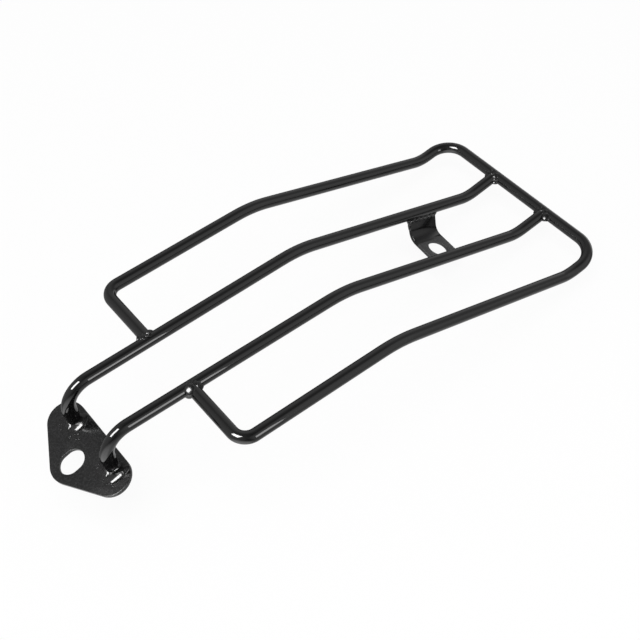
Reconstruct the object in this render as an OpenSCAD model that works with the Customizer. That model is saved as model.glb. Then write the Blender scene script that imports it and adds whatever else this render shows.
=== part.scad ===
// Solo luggage rack welded from round steel bar: two bent inner rails on a slotted front
// plate, one outer loop around them, and a bent strap tab with a bolt hole at the rear.
// +X runs to the rear, +Z up; the origin is the middle of the slot on the plate's underside.

/* [Bar] */
// Diameter of the round bar that the rails and the loop are bent from
bar_d = 8; // [6:0.5:10]

/* [Inner rails] */
// Distance between the rail axes at their front bends
rail_gap_front = 42.5; // [38:0.5:52]
// Distance between the rail axes at the rear crossbar
rail_gap_rear = 50.5; // [46:0.5:62]
// Length of the level front stretch, between its corner points
front_run = 177; // [140:1:240]
// Length of the sloping stretch, between its corner points
slope_run = 168.5; // [140:0.5:220]
// Length of the upturned tail, from its corner point to the crossbar's axis
tail_run = 29.5; // [29:0.5:60]
// Fall of the sloping stretch
slope_angle = 18.5; // [5:0.5:22]
// Rise of the tail
tail_angle = 8; // [0:0.5:10]
// Length of the legs, from the front plate to their corner points
leg_len = 29; // [25:0.5:60]
// Lean of the legs: their feet stand behind their bends
leg_lean = 5; // [0:0.5:12]
// Bend radius at the top of the legs, on the bar's axis
leg_bend_r = 16.5; // [12:0.5:20]
// Share by which the cold bend widens a leg along the rack, and narrows it across
leg_flatten = 0.22; // [0:0.01:0.3]
// Bend radius where the slope begins, on the bar's axis
slope_bend_r = 80; // [40:1:120]
// Bend radius where the tail begins, on the bar's axis
tail_bend_r = 32; // [20:0.5:40]

/* [Outer loop] */
// Distance between the loop's sides at its front corners
loop_width_front = 145; // [110:1:200]
// Distance between the loop's sides at its rear corners
loop_width_rear = 152.5; // [110:0.5:200]
// Distance from the rails' front corner points back to the loop's front arms
loop_setback = 61; // [35:1:90]
// Bend radius of the loop's front corners
loop_front_r = 9.5; // [8:0.5:25]
// Bend radius of the loop's rear corners
loop_rear_r = 17.5; // [10:0.5:20]

/* [Front plate] */
// Thickness of the front plate
plate_t = 3; // [2:0.5:6]
// Downward tilt of the plate's nose
plate_tilt = 17; // [0:1:30]
// Radius of the plate's two rear corners
plate_corner_r = 12.5; // [8:0.5:16]
// Distance between the centres of the rear corner rounds
plate_corner_gap = 50; // [46:0.5:70]
// Distance from the slot's centre back to the rear corner rounds
plate_corner_back = 12.5; // [10:0.5:20]
// Radius of the plate's nose, round the slot
plate_nose_r = 14; // [12:0.5:20]
// Distance from the slot's centre back to the feet of the rails
foot_back = 16.5; // [14:0.5:18]
// Width of the slot
slot_w = 13.8; // [8:0.1:16]
// Overall length of the slot
slot_len = 17; // [16.5:0.5:24]

/* [Rear tab] */
// Width of the strap that the tab is bent from
tab_w = 26; // [20:0.5:35]
// Thickness of the strap
tab_t = 2.5; // [2:0.5:5]
// Distance from the start of the slope to the middle of the strap
tab_place = 118; // [80:1:130]
// Depth of the bolt hole's centre below the rails' axes, at mid thickness
tab_drop = 16.5; // [14:0.5:24]
// Inner radius of the strap's bend
tab_bend_r = 9.5; // [6:0.5:11.5]
// Flat left between the edge of the bolt hole and the bend
hole_land = 3; // [0:0.5:4]
// Dip of the tab's flat towards its free end
tab_dip = 5; // [0:1:10]
// Distance from the bolt hole's centre to the strap's free end
tab_end = 12; // [10:0.5:20]
// Diameter of the bolt hole
hole_d = 14.5; // [6:0.5:16]

/* [Weld beads] */
// Leg of the fillet round each rail's foot
foot_weld = 4; // [3:0.5:4.5]
// Leg of the fillet where the bars meet each other
bar_weld = 3; // [2:0.5:4]
// What that fillet's leg gains in the crotches between the bars
bar_web = 1.5; // [0:0.5:2]
// Leg of the fillet between the strap and the rail
tab_weld = 3.5; // [2:0.5:5]
// How far the bead down the strap's front edge stands proud
edge_weld = 1.5; // [1:0.25:3]
// Fit-up clearance between a bar's end and its seat, and between a bead and the bars under it
weld_gap = 0.1; // [0.05:0.05:0.3]

/* [Hidden] */
$fn = 96;

bar_paint = [0.035, 0.035, 0.037];
plate_paint = [0.05, 0.05, 0.052];
weld_paint = [0.04, 0.04, 0.042];

bar_r = bar_d / 2;
hole_r = hole_d / 2;
seat_r = bar_r + weld_gap;
bar_sides = 24;
bend_step = 7;
weld_steps = 30;
// Shares of the radius at which a coped end gets rings, so that it follows the bar it sits on
cope_rings = [1, 0.95, 0.81, 0.59, 0.31];

// Directions: along the plate towards the rear, out of its top face, and up the legs
plate_back = [cos(plate_tilt), 0, sin(plate_tilt)];
plate_up = [-sin(plate_tilt), 0, cos(plate_tilt)];
leg_up = [-sin(leg_lean), 0, cos(leg_lean)];
slope_down = [cos(slope_angle), 0, -sin(slope_angle)];
slope_up = [sin(slope_angle), 0, cos(slope_angle)];
tail_rise = [cos(tail_angle), 0, sin(tail_angle)];

// Corner points of the rack's side profile, on the middle plane
foot = plate_t * plate_up + foot_back * plate_back;
front_corner = foot + leg_len * leg_up;
slope_corner = front_corner + [front_run, 0, 0];
tail_corner = slope_corner + slope_run * slope_down;
rear_corner = tail_corner + tail_run * tail_rise;
loop_x = front_corner[0] + loop_setback;

function unit(v) = v / norm(v);
function blend(a, b, t) = a + (b - a) * t;
function share(x, from, to) = (x - from) / (to - from);

// Half distances between the rails and between the loop's sides, at a place along X
function rail_y(x) = blend(rail_gap_front, rail_gap_rear, share(x, front_corner[0], rear_corner[0])) / 2;
function loop_y(x) = blend(loop_width_front, loop_width_rear, share(x, loop_x, rear_corner[0])) / 2;
function on_rail(p, side) = [p[0], side * rail_y(p[0]), p[2]];
function on_loop(p, side) = [p[0], side * loop_y(p[0]), p[2]];

// Corner points of one inner rail, from its foot to the crossbar
function rail_points(side) = [[foot[0], side * rail_gap_front / 2, foot[2]], on_rail(front_corner, side),
    on_rail(slope_corner, side), on_rail(tail_corner, side), on_rail(rear_corner, side)];

// Corner points of the loop's one half, from the rail to the middle of the crossbar
function arm_root(side) = [loop_x, side * rail_y(loop_x), front_corner[2]];
function loop_half(side) = [arm_root(side), on_loop([loop_x, 0, front_corner[2]], side),
    on_loop(slope_corner, side), on_loop(tail_corner, side), on_loop(rear_corner, side)];
loop_points = concat(loop_half(1), [for (i = [4 : -1 : 0]) loop_half(-1)[i]]);
loop_radii = [loop_front_r, slope_bend_r, tail_bend_r, loop_rear_r,
              loop_rear_r, tail_bend_r, slope_bend_r, loop_front_r];

// Bends: how far a corner's turn goes, what it cuts off each leg, and its stations on the axis
function turn_angle(a, b, c) = acos(unit(b - a) * unit(c - b));
function corner_cut(a, b, c, r) = r * tan(turn_angle(a, b, c) / 2);
function bend_stations(a, b, c, r) =
    let (into = unit(b - a), out = unit(c - b), turn = turn_angle(a, b, c),
         inward = unit(out - into * (out * into)), start = b - into * corner_cut(a, b, c, r),
         steps = ceil(turn / bend_step))
    [for (i = [0 : steps]) let (t = turn * i / steps)
        [start + r * (sin(t) * into + (1 - cos(t)) * inward), cos(t) * into + sin(t) * inward]];
function axis_stations(points, radii) =
    [for (i = [1 : len(points) - 2])
        each bend_stations(points[i - 1], points[i], points[i + 1], radii[i - 1])];

// One ring of points round a bar's axis, widened in the plane of the bend and narrowed across it
function ring(centre, dir, across, r, widen = 1) =
    let (u = unit(cross(across, dir)), v = cross(dir, u))
    [for (k = [0 : bar_sides - 1]) let (t = 360 * k / bar_sides)
        centre + r * (widen * cos(t) * u + sin(t) / widen * v)];

// Slides a point along dir until it lies on a plane, or on the near side of a bar's surface
function slide_to_plane(p, dir, at, normal) = p + dir * (((at - p) * normal) / (dir * normal));
function slide_to_bar(p, dir, at, axis, r) =
    let (m = (p - at) - axis * ((p - at) * axis), k = dir - axis * (dir * axis),
         half = m * k, drop = half * half - (k * k) * (m * m - r * r))
    p + dir * ((-half - sqrt(max(drop, 0))) / (k * k));

// Rings of a bar's end, from its rim inwards, slid along a direction onto another bar
function coped_end(centre, dir, across, slide, at, axis) =
    [for (s = cope_rings)
        [for (p = ring(centre, dir, across, s * bar_r)) slide_to_bar(p, slide, at, axis, seat_r)]];
function backwards(list) = [for (i = [len(list) - 1 : -1 : 0]) list[i]];

// A solid through rings of equal length, closed at both ends round a middle point
module loft(rings, first, last) {
    m = len(rings[0]);
    n = len(rings);
    polyhedron(
        points = concat([for (q = rings) each q], [first, last]),
        faces = concat(
            [for (i = [0 : n - 2], k = [0 : m - 1])
                [i * m + k, (i + 1) * m + (k + 1) % m, i * m + (k + 1) % m]],
            [for (i = [0 : n - 2], k = [0 : m - 1])
                [i * m + k, (i + 1) * m + k, (i + 1) * m + (k + 1) % m]],
            [for (k = [0 : m - 1]) [n * m, k, (k + 1) % m]],
            [for (k = [0 : m - 1]) [n * m + 1, (n - 1) * m + (k + 1) % m, (n - 1) * m + k]]));
}

// A closed ring of sections, as a bead that runs all the way round a joint
module ring_loft(sections) {
    m = len(sections[0]);
    n = len(sections);
    polyhedron(
        points = [for (q = sections) each q],
        faces = concat(
            [for (i = [0 : n - 1], k = [0 : m - 1]) let (j = (i + 1) % n)
                [i * m + k, j * m + (k + 1) % m, i * m + (k + 1) % m]],
            [for (i = [0 : n - 1], k = [0 : m - 1]) let (j = (i + 1) % n)
                [i * m + k, j * m + k, j * m + (k + 1) % m]]));
}

// The convex face of a bead from toe to toe, through its crown
function bead_face(a, crown, b) =
    let (pull = 2 * crown - (a + b) / 2)
    [for (t = [0 : 0.25 : 1]) (1 - t) * (1 - t) * a + 2 * t * (1 - t) * pull + t * t * b];

// Direction of a rail's level run, which the loop's arms butt against, and of its slope and tail
function stretch(side, i) = unit(rail_points(side)[i + 1] - rail_points(side)[i]);
crossbar = [0, 1, 0];

// One inner rail: foot on the plate, leg, level run, slope, and a tail coped onto the crossbar
module inner_rail(side) {
    points = rail_points(side);
    across = unit(cross([0, 0, 1], stretch(side, 1)));
    up = stretch(side, 0);
    tail = stretch(side, 3);
    seat = points[0] + weld_gap * plate_up;
    base = [for (p = ring(points[0], up, across, bar_r)) slide_to_plane(p, up, seat, plate_up)];
    collar = ring(points[0] + up * foot_top, up, across, bar_r);
    leg_bend = bend_stations(points[0], points[1], points[2], leg_bend_r);
    last = len(leg_bend) - 1;
    bent = [for (i = [0 : last])
        ring(leg_bend[i][0], leg_bend[i][1], across, bar_r, 1 + leg_flatten * (1 - i / last))];
    rest = [for (s = concat(bend_stations(points[1], points[2], points[3], slope_bend_r),
                            bend_stations(points[2], points[3], points[4], tail_bend_r)))
        ring(s[0], s[1], across, bar_r)];
    near = points[4] - tail * bar_d;
    color(bar_paint) loft(
        concat([base, collar], bent, rest, coped_end(near, tail, across, tail, points[4], crossbar)),
        slide_to_plane(points[0], up, seat, plate_up),
        slide_to_bar(near, tail, points[4], crossbar, seat_r));
}
module right_inner_rail() { inner_rail(1); }
module left_inner_rail() { inner_rail(-1); }

// The outer loop: arm, side, crossbar, side and arm, both arms coped onto the rails' outer sides
module outer_loop() {
    up = [0, 0, 1];
    out_r = arm_root(1) + bar_d * crossbar;
    out_l = arm_root(-1) - bar_d * crossbar;
    first = coped_end(out_r, crossbar, up, -crossbar, arm_root(1), stretch(1, 1));
    last = coped_end(out_l, crossbar, up, crossbar, arm_root(-1), stretch(-1, 1));
    body = [for (s = axis_stations(loop_points, loop_radii)) ring(s[0], s[1], up, bar_r)];
    color(bar_paint) loft(concat(backwards(first), body, last),
        slide_to_bar(out_r, -crossbar, arm_root(1), stretch(1, 1), seat_r),
        slide_to_bar(out_l, crossbar, arm_root(-1), stretch(-1, 1), seat_r));
}

// The front plate: a rounded triangle that lies along the mudguard, with one slot
module front_plate() {
    module at(back, side) { translate([back, side]) children(); }
    half_gap = plate_corner_gap / 2;
    slot_half = (slot_len - slot_w) / 2;
    color(plate_paint) rotate([0, -plate_tilt, 0]) linear_extrude(plate_t) difference() {
        hull() {
            at(0, 0) circle(plate_nose_r);
            at(plate_corner_back, half_gap) circle(plate_corner_r);
            at(plate_corner_back, -half_gap) circle(plate_corner_r);
        }
        hull() {
            at(slot_half, 0) circle(d = slot_w);
            at(-slot_half, 0) circle(d = slot_w);
        }
    }
}

// The rear tab's profile across the rack: y to the right, then height along the slope's normal
tab_foot = slope_corner + tab_place * slope_down;
tab_rail_y = rail_y(tab_foot[0]);
fold_r = tab_bend_r + tab_t / 2;
flat_out = [cos(tab_dip), sin(tab_dip)];
flat_up = [-sin(tab_dip), cos(tab_dip)];
hole_at = [0, -tab_drop];
fold_at = hole_at + (hole_r + hole_land) * flat_out + fold_r * flat_up;
to_fold = fold_at - [tab_rail_y, 0];
tab_leg = sqrt(to_fold * to_fold - fold_r * fold_r);
tab_lean = atan2(-to_fold[0], -to_fold[1]) - atan2(fold_r, tab_leg);
leg_down = [-sin(tab_lean), -cos(tab_lean)];
leg_in = [-cos(tab_lean), sin(tab_lean)];

// One face of the strap: up its leg, round its bend and along its flat; side is 1 inside, -1 outside
function strap_face(side) = let (o = side * tab_t / 2)
    concat([[tab_rail_y, 0] + leg_in * o],
           [for (i = [0 : 12]) let (t = blend(tab_lean, 90 - tab_dip, i / 12))
               fold_at + (fold_r - o) * [cos(t), -sin(t)]],
           [hole_at - tab_end * flat_out + o * flat_up]);

// Places a shape drawn across the rack (x right, y up off the slope, z forward) on the tab's place
module across_slope() {
    multmatrix([[0, slope_up[0], slope_down[0], tab_foot[0]],
                [1, slope_up[1], slope_down[1], tab_foot[1]],
                [0, slope_up[2], slope_down[2], tab_foot[2]]]) children();
}

// A point of the rack given by its place along the slope, its y and its height off the slope
function off_slope(s, y, h) = tab_foot + s * slope_down + [0, y, 0] + h * slope_up;

// The rear tab: strap hung from the right rail, bent to a flat with the bolt hole
module rear_tab() {
    rail_end = on_rail(tail_corner, 1);
    slope_dir = stretch(1, 2);
    tilt = acos(slope_dir[2]);
    swing = atan2(slope_dir[1], slope_dir[0]);
    color(plate_paint) difference() {
        across_slope() translate([0, 0, -tab_w / 2]) linear_extrude(tab_w)
            polygon(concat(strap_face(1), backwards(strap_face(-1))));
        translate(rail_end) rotate([0, tilt, swing]) translate([0, 0, -slope_run])
            cylinder(h = slope_run, r = seat_r);
        across_slope() translate([hole_at[0], hole_at[1], 0]) rotate([0, 0, tab_dip]) rotate([90, 0, 0])
            translate([0, 0, -tab_t]) cylinder(h = 2 * tab_t, r = hole_r);
    }
}

// Fillet round a rail's foot, from the bar down to the plate's top face
foot_top = foot_weld + bar_r * tan(plate_tilt);
module foot_bead(side) {
    at = rail_points(side)[0];
    up = stretch(side, 0);
    u = unit(cross([0, 1, 0], up));
    v = cross(up, u);
    seat = at + weld_gap * plate_up;
    sections = [for (i = [0 : weld_steps - 1])
        let (t = 360 * i / weld_steps, e = cos(t) * u + sin(t) * v,
             flat = unit(e - plate_up * (e * plate_up)),
             root = slide_to_plane(at + seat_r * e, up, seat, plate_up),
             crown = root + 0.38 * foot_weld * (up + flat))
        concat([root], bead_face(root + foot_weld * up, crown, root + foot_weld * flat))];
    color(weld_paint) ring_loft(sections);
}
module right_foot_weld() { foot_bead(1); }
module left_foot_weld() { foot_bead(-1); }

// Fillet round a bar coped square onto another bar; out points from the seat bar to the coped one
module cope_bead(at, axis, out) {
    x = unit(out - axis * (out * axis));
    z = cross(x, axis);
    wrap = bar_weld / seat_r * 180 / PI;
    function leg_at(t) = bar_weld + bar_web * cos(t) * cos(t);
    function on_seat(t, k) = let (turn = asin(sin(t)) + k * wrap * sin(t))
        at + axis * ((seat_r + k * leg_at(t)) * cos(t)) + seat_r * (cos(turn) * x + sin(turn) * z);
    sections = [for (i = [0 : weld_steps - 1])
        let (t = 360 * i / weld_steps, root = on_seat(t, 0), c = abs(cos(t)),
             lift = unit(c * x + cos(t) * axis + 2 * sin(t) * z),
             crown = root + lift * leg_at(t) * (0.24 + 0.4 * c))
        concat([root], bead_face(root + leg_at(t) * x, crown, on_seat(t, 1)),
               [on_seat(t, 0.67), on_seat(t, 0.33)])];
    color(weld_paint) ring_loft(sections);
}
module right_loop_weld() { cope_bead(arm_root(1), stretch(1, 1), crossbar); }
module left_loop_weld() { cope_bead(arm_root(-1), stretch(-1, 1), -crossbar); }
module right_crossbar_weld() { cope_bead(rail_points(1)[4], crossbar, -stretch(1, 3)); }
module left_crossbar_weld() { cope_bead(rail_points(-1)[4], crossbar, -stretch(-1, 3)); }

// Fillet between the strap's inner face and the rail's underside, along the strap's width
module tab_top_weld() {
    lean_in = asin((tab_t / 2 + weld_gap) / seat_r);
    wrap = tab_weld / seat_r * 180 / PI;
    function round_rail(turn) = seat_r * (cos(turn) * leg_down + sin(turn) * leg_in);
    root = round_rail(lean_in);
    crown = root + 0.4 * tab_weld * (unit(leg_down) + unit(leg_in));
    section = concat([root], bead_face(root + tab_weld * leg_down, crown, round_rail(lean_in + wrap)),
                     [round_rail(lean_in + 0.67 * wrap), round_rail(lean_in + 0.33 * wrap)]);
    stops = [for (i = [0 : 8]) -tab_w / 2 + tab_w * i / 8];
    rings = [for (s = stops) let (y = rail_y(off_slope(s, 0, 0)[0]))
        [for (p = section) off_slope(s, y + p[0], p[1])]];
    middle = (section[0] + section[2]) / 2;
    color(weld_paint) loft(rings,
        off_slope(stops[0], rail_y(off_slope(stops[0], 0, 0)[0]) + middle[0], middle[1]),
        off_slope(stops[8], rail_y(off_slope(stops[8], 0, 0)[0]) + middle[0], middle[1]));
}

// Bead that runs down the strap's front edge, from the rail to the start of the bend
module tab_edge_weld() {
    top = seat_r + weld_gap;
    edge = -tab_w / 2 - weld_gap;
    flare = [2.2, 1.5, 1.15, 1, 1, 1, 0.5];
    rings = [for (i = [0 : 6]) let (down = blend(top, tab_leg, i / 6), proud = edge_weld * flare[i])
        [for (t = [0 : 30 : 180]) let (across = tab_t / 2 * cos(t))
            off_slope(edge - proud * sin(t), tab_rail_y + leg_down[0] * down + leg_in[0] * across,
                      leg_down[1] * down + leg_in[1] * across)]];
    function middle(q) = (q[0] + q[3] + q[6]) / 3;
    color(weld_paint) loft(rings, middle(rings[0]), middle(rings[6]));
}

outer_loop();
right_inner_rail();
left_inner_rail();
front_plate();
rear_tab();
right_foot_weld();
left_foot_weld();
right_loop_weld();
left_loop_weld();
right_crossbar_weld();
left_crossbar_weld();
tab_top_weld();
tab_edge_weld();
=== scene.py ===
"""Solo luggage rack of black painted round bar: the dressed model.

Every bar, the plate, the strap and every weld bead is modelled again over its solid, in the solid's
own place, and gets the finish of the real one; the plate and the strap also get painted glints, and
the strap's flat a painted sheen.
"""

from __future__ import annotations

import logging
import math
import random
from dataclasses import dataclass, field
from enum import Enum
from typing import Callable, Sequence

import bpy
from mathutils import Matrix, Vector

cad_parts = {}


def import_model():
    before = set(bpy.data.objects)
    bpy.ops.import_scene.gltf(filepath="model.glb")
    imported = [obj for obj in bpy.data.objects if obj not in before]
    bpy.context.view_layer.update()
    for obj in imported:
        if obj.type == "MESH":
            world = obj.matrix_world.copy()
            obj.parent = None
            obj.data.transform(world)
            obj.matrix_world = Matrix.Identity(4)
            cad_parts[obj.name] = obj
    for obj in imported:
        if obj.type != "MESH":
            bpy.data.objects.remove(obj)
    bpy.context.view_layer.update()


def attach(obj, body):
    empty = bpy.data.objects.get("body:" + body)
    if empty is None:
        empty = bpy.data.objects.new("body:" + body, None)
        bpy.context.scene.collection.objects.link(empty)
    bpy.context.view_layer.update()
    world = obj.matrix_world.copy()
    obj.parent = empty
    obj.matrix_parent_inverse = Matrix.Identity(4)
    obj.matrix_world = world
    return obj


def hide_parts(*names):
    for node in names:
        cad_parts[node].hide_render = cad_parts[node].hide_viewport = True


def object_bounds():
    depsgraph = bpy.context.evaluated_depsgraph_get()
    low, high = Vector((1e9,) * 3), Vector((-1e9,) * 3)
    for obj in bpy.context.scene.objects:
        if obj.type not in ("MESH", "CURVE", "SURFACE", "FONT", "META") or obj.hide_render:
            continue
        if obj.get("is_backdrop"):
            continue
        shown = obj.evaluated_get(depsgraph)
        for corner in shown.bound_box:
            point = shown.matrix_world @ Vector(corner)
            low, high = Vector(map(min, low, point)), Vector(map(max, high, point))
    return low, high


log = logging.getLogger("luggage_rack")

Piece = bpy.types.Object
Paint = bpy.types.Material
Socket = bpy.types.NodeSocket
Pair = tuple[float, float]
Triple = tuple[float, float, float]
Crown = tuple[Vector, float, float]

MM = 0.001
ACROSS = Vector((0.0, 1.0, 0.0))


class Side(Enum):
    """Which side of the rack a piece is on, as the sign of its place along Y."""

    RIGHT = 1
    LEFT = -1

    @property
    def word(self) -> str:
        """The side's name, as the solids spell it."""
        return self.name.lower()


@dataclass(frozen=True)
class RackSizes:
    """The rack's driving sizes in millimetres and degrees, the same ones as its solids have."""

    bar_d: float = 8.0
    rail_gap_front: float = 42.5
    rail_gap_rear: float = 50.5
    front_run: float = 177.0
    slope_run: float = 168.5
    tail_run: float = 29.5
    slope_angle: float = 18.5
    tail_angle: float = 8.0
    leg_len: float = 29.0
    leg_lean: float = 5.0
    leg_bend_r: float = 16.5
    leg_flatten: float = 0.22
    slope_bend_r: float = 80.0
    tail_bend_r: float = 32.0
    loop_width_front: float = 145.0
    loop_width_rear: float = 152.5
    loop_setback: float = 61.0
    loop_front_r: float = 9.5
    loop_rear_r: float = 17.5
    plate_t: float = 3.0
    plate_tilt: float = 17.0
    plate_corner_r: float = 12.5
    plate_corner_gap: float = 50.0
    plate_corner_back: float = 12.5
    plate_nose_r: float = 14.0
    foot_back: float = 16.5
    slot_w: float = 13.8
    slot_len: float = 17.0
    tab_w: float = 26.0
    tab_t: float = 2.5
    tab_place: float = 118.0
    tab_drop: float = 16.5
    tab_bend_r: float = 9.5
    hole_land: float = 3.0
    tab_dip: float = 5.0
    tab_end: float = 12.0
    hole_d: float = 14.5
    foot_weld: float = 4.0
    bar_weld: float = 3.0
    bar_web: float = 1.5
    tab_weld: float = 3.5
    edge_weld: float = 1.5


def cos_sin(angle: float) -> Pair:
    """Cosine and sine of an angle in degrees."""
    return math.cos(math.radians(angle)), math.sin(math.radians(angle))


def rise(angle: float) -> Vector:
    """Unit vector in the middle plane that points to the rear and up by an angle in degrees."""
    c, s = cos_sin(angle)
    return Vector((c, 0.0, s))


def turned_up(angle: float) -> Vector:
    """Unit vector square to rise(angle), out of the top of what lies along it."""
    c, s = cos_sin(angle)
    return Vector((-s, 0.0, c))


def heading(azimuth: float, elevation: float) -> Vector:
    """Unit vector towards an azimuth from +X to +Y and an elevation, in degrees."""
    (ca, sa), (ce, se) = cos_sin(azimuth), cos_sin(elevation)
    return Vector((ce * ca, ce * sa, se))


@dataclass
class RackFrame:
    """Corner points and directions that every piece takes its place from, in metres."""

    sizes: RackSizes

    def __post_init__(self) -> None:
        """Work out the side profile's corner points."""
        s = self.sizes
        self.bar_r = s.bar_d / 2 * MM
        self.plate_back = rise(s.plate_tilt)
        self.plate_up = turned_up(s.plate_tilt)
        self.leg_up = turned_up(s.leg_lean)
        self.slope_down = rise(-s.slope_angle)
        self.slope_up = turned_up(-s.slope_angle)
        self.foot = (self.plate_up * s.plate_t + self.plate_back * s.foot_back) * MM
        self.front_corner = self.foot + self.leg_up * s.leg_len * MM
        self.slope_corner = self.front_corner + Vector((s.front_run * MM, 0.0, 0.0))
        self.tail_corner = self.slope_corner + self.slope_down * s.slope_run * MM
        self.rear_corner = self.tail_corner + rise(s.tail_angle) * s.tail_run * MM
        self.loop_x = self.front_corner.x + s.loop_setback * MM

    def rail_y(self, x: float) -> float:
        """Half the distance between the rails at a place along X."""
        s = self.sizes
        share = (x - self.front_corner.x) / (self.rear_corner.x - self.front_corner.x)
        return (s.rail_gap_front + (s.rail_gap_rear - s.rail_gap_front) * share) / 2 * MM

    def loop_y(self, x: float) -> float:
        """Half the distance between the loop's sides at a place along X."""
        s = self.sizes
        share = (x - self.loop_x) / (self.rear_corner.x - self.loop_x)
        return (s.loop_width_front + (s.loop_width_rear - s.loop_width_front) * share) / 2 * MM

    def rail_corners(self, side: Side) -> list[Vector]:
        """Corner points of one inner rail, from its foot to the crossbar."""
        foot = self.foot.copy()
        foot.y = side.value * self.sizes.rail_gap_front / 2 * MM
        rest = [self.front_corner, self.slope_corner, self.tail_corner, self.rear_corner]
        return [foot] + [Vector((p.x, side.value * self.rail_y(p.x), p.z)) for p in rest]

    def arm_root(self, side: Side) -> Vector:
        """Point on a rail's axis where the loop's arm meets it."""
        return Vector((self.loop_x, side.value * self.rail_y(self.loop_x), self.front_corner.z))

    def loop_half(self, side: Side) -> list[Vector]:
        """Corner points of one half of the loop, from the rail to the crossbar."""
        start = Vector((self.loop_x, 0.0, self.front_corner.z))
        rest = [start, self.slope_corner, self.tail_corner, self.rear_corner]
        sides = [Vector((p.x, side.value * self.loop_y(p.x), p.z)) for p in rest]
        return [self.arm_root(side)] + sides

    def stretch(self, side: Side, index: int) -> Vector:
        """Direction of a rail's leg (0), level run (1), slope (2) or tail (3)."""
        corners = self.rail_corners(side)
        return (corners[index + 1] - corners[index]).normalized()


# --- Modelling helpers ---

SAME_POINT = 1e-6
FLAT_ANGLE = 0.5
SQUARE_EDGE = 50.0
DISC_SIDES = 96


def edit(piece: Piece) -> None:
    """Make a piece the only selected one and open it in edit mode with all of it selected."""
    activate(piece)
    bpy.ops.object.mode_set(mode="EDIT")
    bpy.ops.mesh.select_all(action="SELECT")


def extrude(move: Callable[..., object], way: Vector) -> None:
    """Extrude what is selected along a straight way, by one of Blender's own moves."""
    move(TRANSFORM_OT_translate={"value": way})


def leave_edit() -> None:
    """Go back to object mode."""
    bpy.ops.object.mode_set(mode="OBJECT")


def activate(piece: Piece) -> None:
    """Make a piece the active and only selected object."""
    bpy.ops.object.select_all(action="DESELECT")
    piece.select_set(True)
    bpy.context.view_layer.objects.active = piece


def settle(piece: Piece, name: str) -> Piece:
    """Name a piece and put its place and turn into its mesh.

    Args:
        piece: The piece that was just added or shaped.
        name: Its name from here on.

    Returns:
        The same piece, at the origin, unturned and unscaled.
    """
    activate(piece)
    bpy.ops.object.transform_apply(location=True, rotation=True, scale=True)
    piece.name = name
    piece.data.name = name
    return piece


def apply_modifier(piece: Piece, kind: str, **settings: object) -> None:
    """Add a modifier, give it its settings and apply it.

    Args:
        piece: The piece that takes it.
        kind: Blender's name of the modifier's type.
        **settings: The modifier's own properties.
    """
    activate(piece)
    modifier = piece.modifiers.new(kind.title(), kind)
    for key, value in settings.items():
        setattr(modifier, key, value)
    bpy.ops.object.modifier_apply(modifier=modifier.name)


def cut_with(piece: Piece, cutter: Piece) -> None:
    """Cut one piece with another, and delete the cutter."""
    apply_modifier(piece, "BOOLEAN", operation="DIFFERENCE", solver="EXACT", object=cutter)
    bpy.data.objects.remove(cutter, do_unlink=True)


def smooth_faces(piece: Piece, sharp: float = 180.0) -> None:
    """Shade a piece smooth, with sharp edges above an angle in degrees."""
    activate(piece)
    bpy.ops.object.shade_smooth_by_angle(angle=math.radians(sharp))


def outward(piece: Piece) -> None:
    """Merge doubled points and turn all faces outwards."""
    edit(piece)
    bpy.ops.mesh.remove_doubles(threshold=SAME_POINT)
    bpy.ops.mesh.normals_make_consistent(inside=False)
    leave_edit()


def join(pieces: Sequence[Piece]) -> Piece:
    """Join pieces into the first one and return it."""
    activate(pieces[0])
    for piece in pieces[1:]:
        piece.select_set(True)
    bpy.ops.object.join()
    return pieces[0]


def added(shape: Callable[..., object], name: str, **settings: object) -> Piece:
    """Add one of Blender's own shapes.

    Args:
        shape: The operator that adds it.
        name: Its name.
        **settings: The operator's own settings.

    Returns:
        The new piece, with its place in its mesh.
    """
    shape(**settings)
    return settle(bpy.context.object, name)


def disc(radius: float, depth: float, at: Vector, along: Vector) -> Piece:
    """Add a disc round a point.

    Args:
        radius: Its radius in millimetres.
        depth: Its thickness in millimetres.
        at: Its middle, in metres.
        along: Its axis.

    Returns:
        The disc.
    """
    return added(bpy.ops.mesh.primitive_cylinder_add, "disc", vertices=DISC_SIDES,
                 radius=radius * MM, depth=depth * MM, location=at,
                 rotation=along.to_track_quat("Z", "Y").to_euler())


def roll_edges(piece: Piece, width: float, segments: int) -> None:
    """Round a piece's square edges by a width in millimetres, in so many segments."""
    apply_modifier(piece, "BEVEL", width=width * MM, segments=segments, limit_method="ANGLE",
                   angle_limit=math.radians(SQUARE_EDGE))


def hull_of(parts: Sequence[Piece], name: str) -> Piece:
    """Join pieces and wrap them in one convex skin with clean flat faces.

    Args:
        parts: The pieces to wrap.
        name: The name of the result.

    Returns:
        The wrapped piece.
    """
    piece = join(parts)
    edit(piece)
    bpy.ops.mesh.convex_hull()
    bpy.ops.mesh.select_all(action="SELECT")
    bpy.ops.mesh.dissolve_limited(angle_limit=math.radians(FLAT_ANGLE))
    leave_edit()
    outward(piece)
    return settle(piece, name)


# --- Finishes ---


@dataclass(frozen=True)
class ShaderNet:
    """A material's or a world's node tree, whose nodes are added and wired in one call each."""

    tree: bpy.types.NodeTree

    def feed(self, node: bpy.types.Node, key: int | str, value: object) -> None:
        """Give a node's input a plain value, or wire an output to it."""
        if isinstance(value, Socket):
            self.tree.links.new(value, node.inputs[key])
        else:
            node.inputs[key].default_value = value

    def add(self, kind: str, output: int | str, inputs: dict[int | str, object] | None = None,
            **settings: object) -> Socket:
        """Add a node.

        Args:
            kind: Its type, without the part that all shader nodes share.
            output: The output that is wanted.
            inputs: By input, the value that it holds or the output that feeds it.
            **settings: The node's own properties.

        Returns:
            The wanted output.
        """
        node = self.tree.nodes.new(f"ShaderNode{kind}")
        for key, value in settings.items():
            setattr(node, key, value)
        for key, value in (inputs or {}).items():
            self.feed(node, key, value)
        return node.outputs[output]


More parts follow.
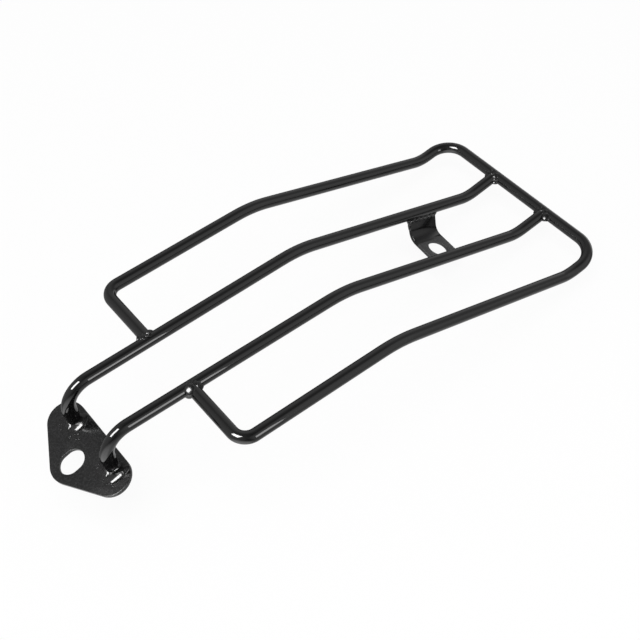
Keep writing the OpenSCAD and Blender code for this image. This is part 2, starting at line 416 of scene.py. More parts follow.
@dataclass(frozen=True)
class PaintedSheen:
    """Stretch of a piece with a painted sheen: its tone painted paler from a line onwards, for the
    light that stretch catches, and its paint duller there.

    The line lies at a distance along a way, start, and the change is over at start and fade.
    """

    way: Triple
    start: float
    fade: float
    colour: Triple
    roughness: float


@dataclass(frozen=True)
class BlackPaint:
    """Black paint over steel: its gloss, its orange peel, the grain that shows through it and
    painted glints on that grain.

    Sizes and depths of its relief are in metres. Speckle is how much brighter its painted glints
    are: flecks of paler colour, painted highlights on the grain.
    """

    name: str
    roughness: float
    roughness_spread: float
    peel_size: float
    peel_depth: float
    grain_size: float = 0.0
    grain_depth: float = 0.0
    painted_glint_gain: float = 0.0
    # A stretch with a painted sheen, painted paler for the light it catches, if any.
    painted_sheen: PaintedSheen | None = None
    ior: float = 1.5
    colour: Triple = (0.004, 0.004, 0.0041)
    gloss_patch: float = 9 * MM
    # Size of the painted glints.
    glint_size: float = 1.1 * MM

    def build(self) -> Paint:
        """Make the node material.

        Returns:
            The material, which reads Object coordinates only.
        """
        material = bpy.data.materials.new(self.name)
        material.use_nodes = True
        net = ShaderNet(material.node_tree)
        shader = material.node_tree.nodes["Principled BSDF"]
        shader.inputs["IOR"].default_value = self.ior
        place = net.add("TexCoord", "Object")

        def noise(size: float, detail: float, rough: float = 0.5) -> Socket:
            """Noise whose features are about size metres across."""
            inputs = {"Vector": place, "Scale": 1.0 / size, "Detail": detail, "Roughness": rough}
            return net.add("TexNoise", "Fac", inputs)

        def spread(source: Socket, low: float, high: float) -> Socket:
            """Stretch a noise's middle band to a range."""
            band = {"From Min": 0.3, "From Max": 0.7, "To Min": low, "To Max": high}
            return net.add("MapRange", "Result", {"Value": source, **band})

        def bump(source: Socket, depth: float, **under: Socket) -> Socket:
            """Relief of a noise, on top of another relief."""
            inputs = {"Height": source, "Strength": 1.0, "Distance": depth, **under}
            return net.add("Bump", "Normal", inputs)

        def tinted(share: Socket, under: object, colour: Triple) -> Socket:
            """Lay a colour over another by a share."""
            inputs = {"Factor": share, "A": under, "B": (*colour, 1.0)}
            return net.add("Mix", "Result", inputs, data_type="RGBA")

        gloss = spread(noise(self.gloss_patch, detail=3.0),
                       self.roughness - self.roughness_spread,
                       self.roughness + self.roughness_spread)
        tone: object = (*self.colour, 1.0)
        # Painted glints: flecks of paler colour scattered over the tone, painted highlights of the
        # grain catching the light.
        if self.painted_glint_gain > 0:
            bright = tuple(c * (1 + self.painted_glint_gain) for c in self.colour)
            glint_share = spread(noise(self.glint_size, detail=5.0, rough=0.7), low=-0.6, high=1.0)
            tone = tinted(glint_share, tone, bright)
        # Painted sheen: past its line the tone is painted paler for the light that stretch catches,
        # and the paint is made duller.
        if self.painted_sheen is not None:
            painted_sheen = self.painted_sheen
            far = net.add("VectorMath", "Value", {0: place, 1: painted_sheen.way}, operation="DOT_PRODUCT")
            zone = {"Value": far, "From Min": painted_sheen.start, "From Max": painted_sheen.start + painted_sheen.fade}
            past = net.add("MapRange", "Result", zone)
            tone = tinted(past, tone, painted_sheen.colour)
            dull = {"Value": past, "To Min": gloss, "To Max": painted_sheen.roughness}
            gloss = net.add("MapRange", "Result", dull)
        net.feed(shader, "Base Color", tone)
        net.feed(shader, "Roughness", gloss)
        relief = bump(noise(self.peel_size, detail=2.0), self.peel_depth)
        if self.grain_depth > 0:
            grain = noise(self.grain_size, detail=4.0, rough=0.65)
            relief = bump(grain, self.grain_depth, Normal=relief)
        net.feed(shader, "Normal", relief)
        return material


BAR_PAINT = BlackPaint("bar_gloss_black", roughness=0.05, roughness_spread=0.02,
                       peel_size=2.2 * MM, peel_depth=0.001 * MM)
# The plate's speckle is painted glints on its grain.
PLATE_PAINT = BlackPaint("plate_black", roughness=0.14, roughness_spread=0.04,
                         peel_size=2.2 * MM, peel_depth=0.004 * MM,
                         grain_size=0.7 * MM, grain_depth=0.007 * MM, painted_glint_gain=6.0, ior=1.45)
BEAD_PAINT = BlackPaint("bead_gloss_black", roughness=0.20, roughness_spread=0.05,
                        peel_size=1.2 * MM, peel_depth=0.003 * MM)


def dress(piece: Piece, material: Paint, slot: str, *nodes: str) -> None:
    """Give a piece its finish and its place on the rack.

    Args:
        piece: The finished piece.
        material: Its finish.
        slot: The record's material slot that it stands for. Not used.
        *nodes: The solids that it stands for.
    """
    piece.data.materials.append(material)
    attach(piece, "root")
    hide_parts(*nodes)
    bpy.context.view_layer.update()
    log.info("%s: %d faces, %s mm", piece.name, len(piece.data.polygons),
             tuple(round(length / MM, 1) for length in piece.dimensions))


# --- Bars ---


@dataclass
class Bend:
    """One bend of a bar: the corner it rounds and the radius of its axis."""

    before: Vector
    corner: Vector
    after: Vector
    radius: float

    def __post_init__(self) -> None:
        """Work out where the bend starts, ends and turns."""
        self.into = (self.corner - self.before).normalized()
        self.out = (self.after - self.corner).normalized()
        self.turn = self.into.angle(self.out)
        cut = self.radius * math.tan(self.turn / 2)
        self.start = self.corner - self.into * cut
        self.end = self.corner + self.out * cut
        self.inward = (self.out - self.into * self.out.dot(self.into)).normalized()
        self.centre = self.start + self.inward * self.radius
        self.axis = self.into.cross(self.inward)

    def station(self, share: float) -> tuple[Vector, Vector]:
        """Point and direction of the bar's axis at a share of the bend."""
        t = self.turn * share
        arc = self.into * math.sin(t) + self.inward * (1 - math.cos(t))
        return self.start + arc * self.radius, self.into * math.cos(t) + self.inward * math.sin(t)


@dataclass
class BentBar:
    """A round bar bent cold along corner points, its bends turned in steps of some degrees."""

    name: str
    corners: list[Vector]
    radii: list[float]
    radius: float
    sides: int = 64
    step: float = 3.0
    sharp: float = 40.0
    bends: list[Bend] = field(init=False)

    def __post_init__(self) -> None:
        """Set out the bends."""
        c = self.corners
        self.bends = [Bend(c[i], c[i + 1], c[i + 2], r) for i, r in enumerate(self.radii)]

    def build(self) -> Piece:
        """Draw the bar out of a circle: extruded along its runs and spun round its bends.

        Returns:
            The closed bar, at the origin.
        """
        way = (self.corners[1] - self.corners[0]).normalized()
        bar = added(bpy.ops.mesh.primitive_circle_add, self.name, vertices=self.sides,
                    radius=self.radius, fill_type="NOTHING", location=self.corners[0],
                    rotation=way.to_track_quat("Z", "Y").to_euler())
        edit(bar)
        here = self.corners[0]
        for bend in self.bends:
            extrude(bpy.ops.mesh.extrude_edges_move, bend.start - here)
            bpy.ops.mesh.spin(steps=math.ceil(math.degrees(bend.turn) / self.step),
                              angle=bend.turn, center=bend.centre, axis=-bend.axis)
            here = bend.end
        extrude(bpy.ops.mesh.extrude_edges_move, self.corners[-1] - here)
        bpy.ops.mesh.select_all(action="SELECT")
        bpy.ops.mesh.fill_holes(sides=0)
        leave_edit()
        outward(bar)
        smooth_faces(bar, self.sharp)
        return bar

    def press(self, bar: Piece, bend: Bend, amount: float, from_point: Vector) -> None:
        """Press the bar oval through a bend: wider in the bend's plane and narrower across it.

        Args:
            bar: The built bar.
            bend: The bend, which is fully oval at its start and round at its end.
            amount: The share by which it gets wider at its start.
            from_point: Where on the run before the bend the bar is still round.
        """
        reach = 2.0 * self.radius
        side = bend.axis
        whole = (bend.start - from_point).dot(bend.into)
        for vertex in bar.data.vertices:
            p = vertex.co
            offset = p - bend.centre
            offset -= side * offset.dot(side)
            angle = -math.atan2(-offset.dot(bend.into), -offset.dot(bend.inward))
            along = (p - from_point).dot(bend.into)
            on_run = from_point + bend.into * along
            if angle <= 0 and 0 < along and (p - on_run).length < reach:
                weight, point, way = min(along / whole, 1.0), on_run, bend.into
            elif 0 < angle < bend.turn and abs(offset.length - bend.radius) < reach:
                weight = 1 - angle / bend.turn
                point, way = bend.station(angle / bend.turn)
            else:
                continue
            depth = way.cross(side)
            rest = p - point
            wide = 1 + amount * weight
            vertex.co = point + depth * rest.dot(depth) * wide + side * rest.dot(side) / wide


@dataclass
class Bars:
    """The bent bars: two inner rails, each with its leg, and the outer loop."""

    frame: RackFrame
    finish: Paint
    let_in: float = 1.0

    def rails(self) -> None:
        """Build and dress both rails, each foot let into the plate by a hidden millimetre."""
        s = self.frame.sizes
        radii = [r * MM for r in (s.leg_bend_r, s.slope_bend_r, s.tail_bend_r)]
        round_until = s.foot_weld + s.bar_d / 2 * math.tan(math.radians(s.plate_tilt))
        for side in Side:
            corners, leg = self.frame.rail_corners(side), self.frame.stretch(side, 0)
            foot = corners[0]
            corners[0] = foot - leg * self.let_in * MM
            bar = BentBar(f"{side.word}_rail_bar", corners, radii, self.frame.bar_r)
            piece = bar.build()
            bar.press(piece, bar.bends[0], s.leg_flatten, foot + leg * round_until * MM)
            dress(piece, self.finish, "bar", f"{side.word}_inner_rail")

    def loop(self) -> None:
        """Build and dress the loop, one bar from one rail round to the other."""
        s = self.frame.sizes
        corners = self.frame.loop_half(Side.RIGHT) + self.frame.loop_half(Side.LEFT)[::-1]
        half = [r * MM for r in (s.loop_front_r, s.slope_bend_r, s.tail_bend_r, s.loop_rear_r)]
        bar = BentBar("outer_loop_bar", corners, half + half[::-1], self.frame.bar_r)
        dress(bar.build(), self.finish, "bar", "outer_loop")


# --- Plate and strap ---


@dataclass
class FrontPlate:
    """The slotted plate under the legs, blanked from sheet, with its rolled edges."""

    frame: RackFrame
    finish: Paint
    edge_roll: float = 0.35
    slot_roll: float = 0.15
    roll_segments: int = 5
    sharp: float = 30.0

    def disc(self, back: float, side: float, radius: float, depth: float) -> Piece:
        """A disc square to the plate, round a point at its mid thickness, in millimetres."""
        f = self.frame
        at = (f.plate_up * f.sizes.plate_t / 2 + f.plate_back * back + ACROSS * side) * MM
        return disc(radius, depth, at, f.plate_up)

    def build(self) -> None:
        """Build and dress the plate."""
        s = self.frame.sizes
        back, aside = s.plate_corner_back, s.plate_corner_gap / 2
        corners = ((0.0, 0.0, s.plate_nose_r), (back, aside, s.plate_corner_r),
                   (back, -aside, s.plate_corner_r))
        plate = hull_of([self.disc(*corner, s.plate_t) for corner in corners], "slotted_plate")
        roll_edges(plate, self.edge_roll, self.roll_segments)
        half = (s.slot_len - s.slot_w) / 2
        slot = hull_of([self.disc(way * half, 0.0, s.slot_w / 2, 3 * s.plate_t) for way in (1, -1)],
                       "slot_cutter")
        cut_with(plate, slot)
        roll_edges(plate, self.slot_roll, self.roll_segments)
        smooth_faces(plate, self.sharp)
        dress(plate, self.finish, "plate", "front_plate")


@dataclass
class RearTab:
    """The strap that hangs from the right rail, folded to a flat with the bolt hole.

    Its leg runs along leg_down, and its flat along flat_in to the free end. The fold's centre,
    and the point where its inner face ends, are each a y and a height in millimetres.
    """

    frame: RackFrame
    edge_roll: float = 0.35
    roll_segments: int = 3
    fold_steps: int = 18
    hidden_top: float = 2.0
    past_fold: float = 1.2
    sharp: float = 30.0

    def __post_init__(self) -> None:
        """Work out the fold, and the leg that runs straight into it."""
        f, s = self.frame, self.frame.sizes
        self.origin = f.slope_corner + f.slope_down * s.tab_place * MM
        self.rail_y = f.rail_y(self.origin.x) / MM
        self.fold_r = s.tab_bend_r + s.tab_t / 2
        dip = math.radians(s.tab_dip)
        across, down = math.cos(dip), math.sin(dip)
        reach = s.hole_d / 2 + s.hole_land
        self.fold = (reach * across - self.fold_r * down,
                     reach * down + self.fold_r * across - s.tab_drop)
        self.fold_end = (self.fold[0] + s.tab_bend_r * down, self.fold[1] - s.tab_bend_r * across)
        dy, dz = self.fold[0] - self.rail_y, self.fold[1]
        self.leg = math.sqrt(dy * dy + dz * dz - self.fold_r ** 2)
        self.lean = math.atan2(-dy, -dz) - math.atan2(self.fold_r, self.leg)
        tilt, plumb = math.sin(self.lean), math.cos(self.lean)
        self.leg_down = -ACROSS * tilt - f.slope_up * plumb
        self.leg_in = -ACROSS * plumb + f.slope_up * tilt
        self.flat_in = -ACROSS * across - f.slope_up * down
        self.flat_up = self.flat_in.cross(f.slope_down)

    def at(self, along: float, y: float, height: float) -> Vector:
        """A point from its place along the slope, its y and its height off it, in millimetres."""
        f = self.frame
        return self.origin + (f.slope_down * along + ACROSS * y + f.slope_up * height) * MM

    def paint(self) -> BlackPaint:
        """Its paint, with a painted sheen on the flat from just past the fold: paler there for the
        light the flat catches, and duller.
        """
        start = self.at(0.0, *self.fold_end).dot(self.flat_in) + self.past_fold * MM
        # The flat's painted sheen: a paler tone that stands for the light the flat catches.
        painted_sheen = PaintedSheen(tuple(self.flat_in), start, fade=1.4 * MM, colour=(0.041, 0.041, 0.042),
                       roughness=0.42)
        # Its speckle paints glints on the strap's grain.
        return BlackPaint("strap_black", roughness=0.12, roughness_spread=0.03,
                          peel_size=2.2 * MM, peel_depth=0.003 * MM, grain_size=0.6 * MM,
                          grain_depth=0.006 * MM, painted_glint_gain=1.0, painted_sheen=painted_sheen, ior=1.38)

    def build(self) -> None:
        """Build and dress the strap, whose top edge hides in the rail."""
        f, s = self.frame, self.frame.sizes
        top = self.at(0.0, self.rail_y, 0.0) + self.leg_down * self.hidden_top * MM
        turn = Matrix((f.slope_down, self.leg_in, f.slope_down.cross(self.leg_in))).transposed()
        bpy.ops.mesh.primitive_plane_add(size=1.0, location=top, rotation=turn.to_euler())
        strap = bpy.context.object
        strap.scale = (s.tab_w * MM, s.tab_t * MM, 1.0)
        strap = settle(strap, "folded_tab")
        edit(strap)
        extrude(bpy.ops.mesh.extrude_region_move,
                self.leg_down * (self.leg - self.hidden_top) * MM)
        bpy.ops.mesh.spin(steps=self.fold_steps, angle=math.radians(90.0 - s.tab_dip) - self.lean,
                          center=self.at(0.0, *self.fold), axis=-self.leg_down.cross(self.leg_in))
        extrude(bpy.ops.mesh.extrude_region_move,
                self.flat_in * (s.hole_d / 2 + s.hole_land + s.tab_end) * MM)
        leave_edit()
        outward(strap)
        cut_with(strap, disc(s.hole_d / 2, 3 * s.tab_t, self.at(0.0, 0.0, -s.tab_drop),
                             self.flat_up))
        roll_edges(strap, self.edge_roll, self.roll_segments)
        smooth_faces(strap, self.sharp)
        dress(strap, self.paint().build(), "plate", "rear_tab")


# --- Weld beads ---


@dataclass
class Puddle:
    """One frozen ripple of a weld bead: where it is, which way it ran and how far it stands out.

    Its width, half of what it covers, and its height are in millimetres.
    """

    at: Vector
    travel: Vector
    out: Vector
    width: float
    height: float


@dataclass
class WeldBead:
    """A weld bead: a row of overlapping ripples and smooth caps, melted into one skin.

    Ripple is half a ripple's length in millimetres. Lean and skew turn it, in degrees.
    """

    name: str
    puddles: list[Puddle]
    drops: list[Puddle] = field(default_factory=list)
    caps: list[Puddle] = field(default_factory=list)
    ripple: float = 1.25
    lean: float = 35.0
    skew: float = 0.0
    seed: int = 1
    voxel: float = 0.22
    smoothing: int = 4
    lean_spread: Pair = (-6, 6)
    size_spread: Pair = (0.92, 1.08)
    drift_spread: Pair = (-0.12, 0.12)

    def build(self) -> Piece:
        """Model one ripple, copy it along the bead, and melt the copies together.

        Returns:
            The closed bead, at the origin.
        """
        rng = random.Random(self.seed)
        bead = self.gathered([self.placed(puddle, rng) for puddle in self.puddles]
                             + [self.rounded(cap) for cap in self.caps])
        apply_modifier(bead, "REMESH", mode="VOXEL", voxel_size=self.voxel * MM)
        apply_modifier(bead, "SMOOTH", factor=0.5, iterations=self.smoothing)
        if self.drops:
            drops = self.gathered([self.rounded(drop) for drop in self.drops])
            bead = settle(join([bead, drops]), self.name)
        outward(bead)
        smooth_faces(bead)
        return bead

    def gathered(self, places: Sequence[Matrix]) -> Piece:
        """One unit ball at each place, as one piece."""
        bpy.ops.mesh.primitive_ico_sphere_add(subdivisions=3, radius=1.0)
        first = bpy.context.object
        balls = []
        for place in places:
            ball = first.copy()
            ball.data = first.data.copy()
            bpy.context.collection.objects.link(ball)
            ball.matrix_world = place
            balls.append(ball)
        bpy.data.objects.remove(first, do_unlink=True)
        return settle(join(balls), self.name)

    @staticmethod
    def rounded(drop: Puddle) -> Matrix:
        """Place and size of one smooth cap or drop, which is round and points out."""
        out = drop.out.normalized()
        turn = out.to_track_quat("Z", "Y").to_matrix().to_4x4()
        size = Matrix.Diagonal((drop.width * MM, drop.width * MM, drop.height * MM, 1.0))
        return Matrix.Translation(drop.at) @ turn @ size

    def placed(self, puddle: Puddle, rng: random.Random) -> Matrix:
        """Place, lean and size of one ripple, each a little different from the next."""
        out = (puddle.out - puddle.travel * puddle.out.dot(puddle.travel)).normalized()
        side = puddle.travel.cross(out)
        turn = Matrix((puddle.travel, side, out)).transposed().to_4x4()
        lean = (Matrix.Rotation(math.radians(self.skew), 4, "Z")
                @ Matrix.Rotation(math.radians(self.lean + rng.uniform(*self.lean_spread)), 4, "Y"))
        size = rng.uniform(*self.size_spread)
        scale = Matrix.Diagonal((self.ripple * MM, puddle.width * size * MM,
                                 puddle.height * size * MM, 1.0))
        drift = side * rng.uniform(*self.drift_spread) * MM
        return Matrix.Translation(puddle.at + drift) @ turn @ lean @ scale


def along_ring(point: Callable[[float], Vector], pitch: float) -> list[float]:
    """Angles in degrees that walk a closed curve in even steps.

    Args:
        point: The curve, by its angle in degrees.
        pitch: The wanted step, in metres.

    Returns:
        The angles, from 0 up to but not including 360.
    """
    per_degree = 2
    fine = [point(i / per_degree) for i in range(360 * per_degree + 1)]
    lengths = [0.0]
    for a, b in zip(fine, fine[1:]):
        lengths.append(lengths[-1] + (b - a).length)
    count = round(lengths[-1] / pitch)
    angles, i = [], 0
    for k in range(count):
        want = lengths[-1] * k / count
        while lengths[i + 1] < want:
            i += 1
        angles.append((i + (want - lengths[i]) / (lengths[i + 1] - lengths[i])) / per_degree)
    return angles


def on_ring(name: str, point: Callable[[float], Vector], crown: Callable[[float], Crown],
            pitch: float, **settings: float) -> WeldBead:
    """A bead that runs all the way round a joint.

    Args:
        name: The bead's name.
        point: The joint's curve, by its angle in degrees.
        crown: At an angle, the direction out of the joint, and the bead's half width and its height
            there in millimetres.
        pitch: Distance between ripples in millimetres.
        **settings: The bead's own values, such as the seed of its small differences.

    Returns:
        The bead.
    """
    puddles = []
    for angle in along_ring(point, pitch * MM):
        out, width, height = crown(angle)
        travel = (point(angle + 1.0) - point(angle - 1.0)).normalized()
        puddles.append(Puddle(point(angle), travel, out, width, height))
    return WeldBead(name, puddles, **settings)


@dataclass
class BarWelds:
    """The beads that join the bars: arms to rails, and rails to the crossbar.

    A bead's half width and its heights, on top of a joint and in its crotches, are shares of the
    bead's leg.
    """

    frame: RackFrame
    finish: Paint
    pitch: float = 2.4
    half_width: float = 0.72
    wider_on_top: float = 0.1
    top_height: float = 0.12
    crotch_height: float = 0.52

    def cope(self, name: str, at: Vector, axis: Vector, out: Vector, seed: int) -> WeldBead:
        """A bead round a bar coped square onto another.

        Args:
            name: The bead's name.
            at: Where the two axes meet.
            axis: Direction of the bar that carries the other.
            out: Direction from it to the coped bar.
            seed: Number that sets its small differences.

        Returns:
            The bead.
        """
        x = (out - axis * out.dot(axis)).normalized()
        z = x.cross(axis)
        r, sizes = self.frame.bar_r, self.frame.sizes

        def point(angle: float) -> Vector:
            """The joint's curve on both bars."""
            c, s = cos_sin(angle)
            return at + axis * (r * c) + z * (r * s) + x * (r * abs(c))

        def crown(angle: float) -> Crown:
            """Out of the crotch at the sides, out of both bars over the top and the bottom."""
            c, s = cos_sin(angle)
            out_way = (x * abs(c) + axis * c + z * 2 * s).normalized()
            leg = sizes.bar_weld + sizes.bar_web * c * c
            return (out_way, leg * (self.half_width + self.wider_on_top * abs(s)),
                    leg * (self.top_height + self.crotch_height * c * c))

        return on_ring(name, point, crown, self.pitch, seed=seed, ripple=1.5, smoothing=22)

    @staticmethod
    def end_cap(root: Vector, offset: Triple, radius: float) -> Puddle:
        """The smooth cap where a bead ends, in the crotch of a joint, which faces up and forward.

        Args:
            root: Where the two bars' axes meet.
            offset: From there to the cap's top, in millimetres.
            radius: The cap's radius in millimetres.

        Returns:
            The cap.
        """
        out, height = Vector((-0.38, -0.28, 0.88)).normalized(), 1.3
        return Puddle(root + (Vector(offset) - out * height) * MM, ACROSS, out, radius, height)

    def build(self) -> None:
        """Build and dress the four beads."""
        f = self.frame
        for side in Side:
            arm_root, rear_root = f.arm_root(side), f.rail_corners(side)[4]
            arm = self.cope(f"{side.word}_loop_bead", arm_root, f.stretch(side, 1),
                            ACROSS * side.value, 11 + side.value)
            rear = self.cope(f"{side.word}_crossbar_bead", rear_root, ACROSS,
                             -f.stretch(side, 3), 21 + side.value)
            if side is Side.LEFT:
                arm.caps = [self.end_cap(arm_root, (-3.2, -4.3, 4.4), 3.6)]
                rear.caps = [self.end_cap(rear_root, (-5.3, -6.1, 3.3), 3.2)]
            dress(arm.build(), self.finish, "weld", f"{side.word}_loop_weld")
            dress(rear.build(), self.finish, "weld", f"{side.word}_crossbar_weld")


@dataclass
class FootWelds:
    """The beads round the legs' feet, and the spatter beside them.

    A bead stands up on the side that looks to stands_to, an azimuth in degrees. On the other
    side, the front left, it lies down on the plate: wider by spreads, in millimetres, and lower.
    """

    frame: RackFrame
    finish: Paint
    pitch: float = 2.2
    stands_to: float = 60.0
    spreads: float = 1.1
    upright: float = 0.8
    half_width: float = 0.8
    height: float = 0.42
    lower: float = 0.22
    drop_count: int = 14

    def ring(self, side: Side) -> WeldBead:
        """The bead round one foot."""
        f = self.frame
        at, up = f.rail_corners(side)[0], f.stretch(side, 0)
        u = ACROSS.cross(up).normalized()
        v = up.cross(u)
        r, leg = f.bar_r, f.sizes.foot_weld

        def way(angle: float) -> Vector:
            """Direction out of the bar."""
            c, s = cos_sin(angle)
            return u * c + v * s

        def low(angle: float) -> float:
            """How much of the bead lies down on the plate."""
            return max(0.0, -way(angle).dot(heading(self.stands_to, 0.0)))

        def point(angle: float) -> Vector:
            """The foot's outline on the plate, a little wider where the bead lies down."""
            p = at + way(angle) * (r + self.spreads * low(angle) * MM)
            return p + up * ((at - p).dot(f.plate_up) / up.dot(f.plate_up))

        def crown(angle: float) -> Crown:
            """Out of the corner between the bar and the plate, or up where the bead lies down."""
            e = way(angle)
            flat = (e - f.plate_up * e.dot(f.plate_up)).normalized()
            lies = low(angle)
            return ((up + flat * (1 - self.upright * lies)).normalized(), leg * self.half_width,
                    leg * (self.height - self.lower * lies))

        bead = on_ring(f"{side.word}_foot_bead", point, crown, self.pitch,
                       seed=31 + side.value, ripple=1.35, smoothing=18)
        if side is Side.LEFT:
            bead.caps = self.second_pass(at, (-4.6, -6.9), (5.4, -6.9), radius=3.8, height=1.65)
        else:
            bead.caps = self.second_pass(at, (-1.4, -5.0), (4.6, -3.2), radius=5.0, height=2.0)
        bead.drops = self.spatter(at, 51 + side.value)
        return bead

    def second_pass(self, foot: Vector, start: Pair, end: Pair,
                    radius: float, height: float) -> list[Puddle]:
        """A second, smoother pass on the plate along the left of a foot.

        Args:
            foot: Where the leg's axis meets the plate.
            start: Where it starts, from the foot back along the plate and along Y, in millimetres.
            end: Where it ends, the same way.
            radius: Its half width in millimetres.
            height: How far it stands off the plate, in millimetres.

        Returns:
            Its caps.
        """
        f, pitch, at_ends = self.frame, 1.4, 0.75
        count = round((end[0] - start[0]) / pitch)
        caps = []
        for i in range(count + 1):
            back, across = (a + (b - a) * i / count for a, b in zip(start, end))
            full = at_ends + (1 - at_ends) * math.sin(math.pi * i / count)
            caps.append(Puddle(foot + (f.plate_back * back + ACROSS * across) * MM,
                               f.plate_back, f.plate_up, radius * full, height * full))
        return caps

    def spatter(self, foot: Vector, seed: int) -> list[Puddle]:
        """Small drops on the plate round a foot: coarse ones at its front left, fine ones in front.

        Args:
            foot: Where the leg's axis meets the plate.
            seed: Number that sets where they fell.

        Returns:
            The drops.
        """
        coarse = ((215.0, 252.0), (9.6, 14.0), (0.45, 0.7))
        fine = ((120.0, 200.0), (8.4, 10.2), (0.22, 0.38))
        f, rng, flatness = self.frame, random.Random(seed), 0.7
        drops = []
        for i in range(self.drop_count):
            turn, far, size = (rng.uniform(*spread) for spread in (fine if i % 2 else coarse))
            c, s = cos_sin(turn)
            way = f.plate_back * c + ACROSS * s
            drops.append(Puddle(foot + way * far * MM, way, f.plate_up, size, size * flatness))
        return drops

    def build(self) -> None:
        """Build and dress both beads."""
        for side in Side:
            dress(self.ring(side).build(), self.finish, "weld", f"{side.word}_foot_weld")


@dataclass
class TabWelds:
    """The beads on the strap: one along the rail, one down its front edge.

    Their shapes, a half width and a height, are shares of the welds' sizes. The edge bead's flare
    makes it thickest at the rail.
    """

    tab: RearTab
    finish: Paint
    top_count: int = 6
    top_sag: float = 0.6
    top_droop: float = 0.45
    top_shape: Pair = (0.95, 0.42)
    edge_pitch: float = 0.9
    edge_shape: Pair = (0.55, 0.9)
    edge_flare: tuple[float, ...] = (1.9, 1.5, 1.15, 1.0, 1.0, 0.9, 0.8, 0.6)

    def top(self) -> list[Puddle]:
        """The ripples along the rail, in the corner between it and the strap's inner face."""
        t, s = self.tab, self.tab.frame.sizes
        run = t.frame.stretch(Side.RIGHT, 2)
        under = math.sqrt((s.bar_d / 2) ** 2 - (s.tab_t / 2) ** 2)
        root = t.at(0.0, t.rail_y, 0.0) + t.leg_in * s.tab_t / 2 * MM + t.leg_down * under * MM
        crown = (t.leg_down * self.top_droop + t.leg_in).normalized()
        width, height = self.top_shape
        places = [s.tab_w * ((i + 0.5) / self.top_count - 0.5) for i in range(self.top_count)]
        return [Puddle(root + run * (place * MM) + t.leg_down * self.top_sag * MM, run, crown,
                       s.tab_weld * width, s.tab_weld * height) for place in places]

    def edge(self) -> list[Puddle]:
        """The ripples down the strap's front edge."""
        t, s = self.tab, self.tab.frame.sizes
        root = t.at(-s.tab_w / 2, t.rail_y, 0.0)
        width, height = self.edge_shape
        return [Puddle(root + t.leg_down * (s.bar_d / 2 + self.edge_pitch * i) * MM, t.leg_down,
                       -t.frame.slope_down, s.tab_t * width, s.edge_weld * height * size)
                for i, size in enumerate(self.edge_flare)]

    def build(self) -> None:
        """Build and dress both beads."""
        top = WeldBead("tab_top_bead", self.top(), ripple=1.7, skew=55.0, seed=41, smoothing=2)
        dress(top.build(), self.finish, "weld", "tab_top_weld")
        edge = WeldBead("tab_edge_bead", self.edge(), seed=43)
        dress(edge.build(), self.finish, "weld", "tab_edge_weld")


# --- Studio ---


def aimed(thing: bpy.types.Object, stand: Vector, target: Vector, roll: float = 0.0) -> None:
    """Put a camera or a lamp at a point, aim it at another and roll it by an angle in degrees."""
    bpy.context.collection.objects.link(thing)
    turn = (target - stand).to_track_quat("-Z", "Y").to_matrix().to_4x4()
    thing.matrix_world = (Matrix.Translation(stand) @ turn
                          @ Matrix.Rotation(math.radians(-roll), 4, "Z"))


@dataclass(frozen=True)
class View:
    """The camera: where it stands and what it looks at, in millimetres, its roll and its lens."""

    stand: Triple = (-93.94, -354.60, 542.64)
    look_at: Triple = (173.60, -18.00, 15.83)
    roll: float = 0.83
    lens: float = 60.11
    sensor: float = 36.0

    def build(self) -> None:
        """Add the camera and make it the scene's."""
        data = bpy.data.cameras.new("camera")
        data.lens = self.lens
        data.sensor_width = self.sensor
        data.clip_start = 10 * MM
        camera = bpy.data.objects.new("camera", data)
        aimed(camera, Vector(self.stand) * MM, Vector(self.look_at) * MM, self.roll)
        bpy.context.scene.camera = camera
        bpy.context.scene.view_settings.view_transform = "Standard"


@dataclass(frozen=True)
class Glow:
    """A paler stretch of the studio's walls: where it is, how far it reaches, how bright it is."""

    azimuth: float
    elevation: float
    full: float
    reach: float
    strength: float


@dataclass(frozen=True)
class SoftLamp:
    """A rectangular soft lamp: its direction and distance from the rack, its size, its radiance.

    It can be for the gloss only, or for the matt surfaces only.
    """

    name: str
    azimuth: float
    elevation: float
    distance: float
    width: float
    height: float
    radiance: float
    in_gloss: bool = True
    on_matt: bool = True

    def build(self, target: Vector) -> None:
        """Hang the lamp and aim it.

        Args:
            target: The point it faces, in metres.
        """
        data = bpy.data.lights.new(self.name, "AREA")
        data.shape = "RECTANGLE"
        data.size, data.size_y = self.width, self.height
        data.energy = self.radiance * math.pi * self.width * self.height
        lamp = bpy.data.objects.new(self.name, data)
        lamp.visible_glossy, lamp.visible_diffuse = self.in_gloss, self.on_matt
        way = heading(self.azimuth, self.elevation)
        aimed(lamp, target + way * self.distance, target)


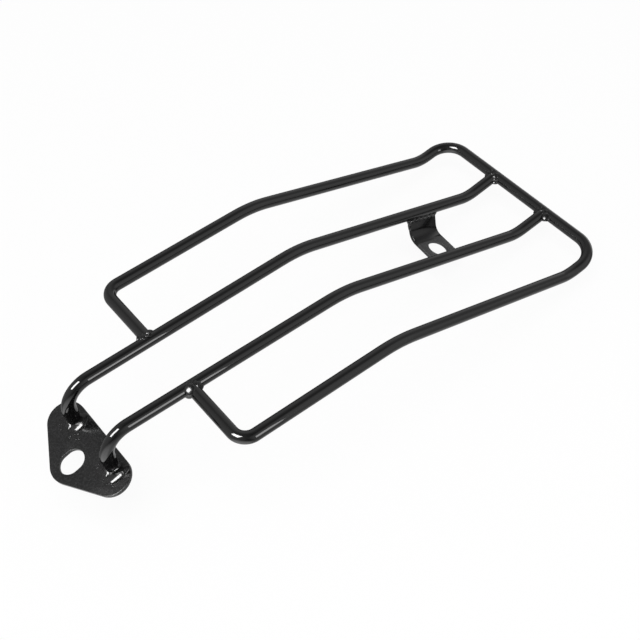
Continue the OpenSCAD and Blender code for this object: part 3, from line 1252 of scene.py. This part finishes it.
@dataclass
class Studio:
    """Pale floor, soft lamps and a white surround."""

    floor_drop: float = 12.0
    floor_size: float = 6.0
    floor_middle: float = 0.2
    floor_grey: float = 0.9
    floor_glow: float = 0.92
    wall: float = 0.05
    glows: tuple[Glow, ...] = (
        Glow(-65.0, 25.0, 0.0, 52.0, 0.82),
        Glow(20.0, 22.0, 18.0, 68.0, 0.38),
        Glow(56.0, 31.0, 0.0, 38.0, 0.27),
        Glow(158.0, 15.0, 0.0, 95.0, 0.63),
        Glow(-94.0, -70.0, 18.0, 82.0, 0.70),
        Glow(-145.0, -36.0, 14.0, 42.0, 1.3),
        Glow(12.0, -4.0, 8.0, 30.0, 0.8),
    )
    lamps: tuple[SoftLamp, ...] = (
        SoftLamp("key", -179.0, 51.0, 1.5, 0.66, 0.80, 28.0, on_matt=False),
        SoftLamp("strip", -84.0, 21.0, 1.2, 0.26, 0.56, 5.5),
        SoftLamp("fill", -150.0, 72.0, 1.5, 1.1, 1.1, 3.4, in_gloss=False),
    )

    def build(self) -> None:
        """Set up floor, world and lamps."""
        low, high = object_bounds()
        self.floor(low[2] - self.floor_drop * MM)
        self.world()
        for lamp in self.lamps:
            lamp.build((Vector(low) + Vector(high)) / 2)

    def floor(self, height: float) -> None:
        """The pale floor, which shows white and keeps a faint shadow; gloss looks through it.

        Args:
            height: Its place along Z, in metres.
        """
        floor = added(bpy.ops.mesh.primitive_plane_add, "floor", size=self.floor_size,
                      location=(self.floor_middle, 0.0, height))
        material = bpy.data.materials.new("floor_white")
        material.use_nodes = True
        nodes, net = material.node_tree.nodes, ShaderNet(material.node_tree)
        shader = nodes["Principled BSDF"]
        net.feed(shader, "Base Color", (*[self.floor_grey] * 3, 1.0))
        net.feed(shader, "Roughness", self.floor_grey)
        glow = net.add("Emission", 0, {"Strength": 1.0})
        seen = net.add("LightPath", "Is Camera Ray")
        share = net.add("Math", 0, {0: seen, 1: self.floor_glow}, operation="MULTIPLY")
        plain = net.add("MixShader", 0, {"Fac": share, 1: shader.outputs[0], 2: glow})
        mirrored = net.add("LightPath", "Is Glossy Ray")
        clear = net.add("BsdfTransparent", 0)
        mix = net.add("MixShader", 0, {"Fac": mirrored, 1: plain, 2: clear})
        net.feed(nodes["Material Output"], "Surface", mix)
        floor.data.materials.append(material)
        floor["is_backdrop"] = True

    def world(self) -> None:
        """White to the camera; to the paint a dim room whose walls glow here and there."""
        world = bpy.data.worlds.new("studio")
        bpy.context.scene.world = world
        world.use_nodes = True
        nodes, net = world.node_tree.nodes, ShaderNet(world.node_tree)
        white = (1.0, 1.0, 1.0, 1.0)
        way = net.add("TexCoord", "Generated")
        light: object = self.wall
        for glow in self.glows:
            towards = {0: way, 1: heading(glow.azimuth, glow.elevation)}
            facing = net.add("VectorMath", "Value", towards, operation="DOT_PRODUCT")
            patch = {"Value": facing, "From Min": cos_sin(glow.reach)[0],
                     "From Max": cos_sin(glow.full)[0], "To Max": glow.strength}
            fade = net.add("MapRange", "Result", patch, interpolation_type="SMOOTHSTEP")
            light = net.add("Math", 0, {0: fade, 1: light}, operation="ADD")
        room = nodes["Background"]
        net.feed(room, "Color", white)
        net.feed(room, "Strength", light)
        plain = net.add("Background", 0, {"Color": white})
        seen = net.add("LightPath", "Is Camera Ray")
        mix = net.add("MixShader", 0, {"Fac": seen, 1: room.outputs[0], 2: plain})
        net.feed(nodes["World Output"], "Surface", mix)


def main() -> None:
    """Build the rack, dress it and light it."""
    logging.basicConfig(level=logging.INFO, format="%(name)s: %(message)s")
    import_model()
    View().build()
    frame = RackFrame(RackSizes())
    bar, plate, bead = BAR_PAINT.build(), PLATE_PAINT.build(), BEAD_PAINT.build()
    bars = Bars(frame, bar)
    bars.rails()
    bars.loop()
    FrontPlate(frame, plate).build()
    tab = RearTab(frame)
    tab.build()
    BarWelds(frame, bead).build()
    FootWelds(frame, bead).build()
    TabWelds(tab, bead).build()
    Studio().build()


if __name__ == "__main__":
    main()
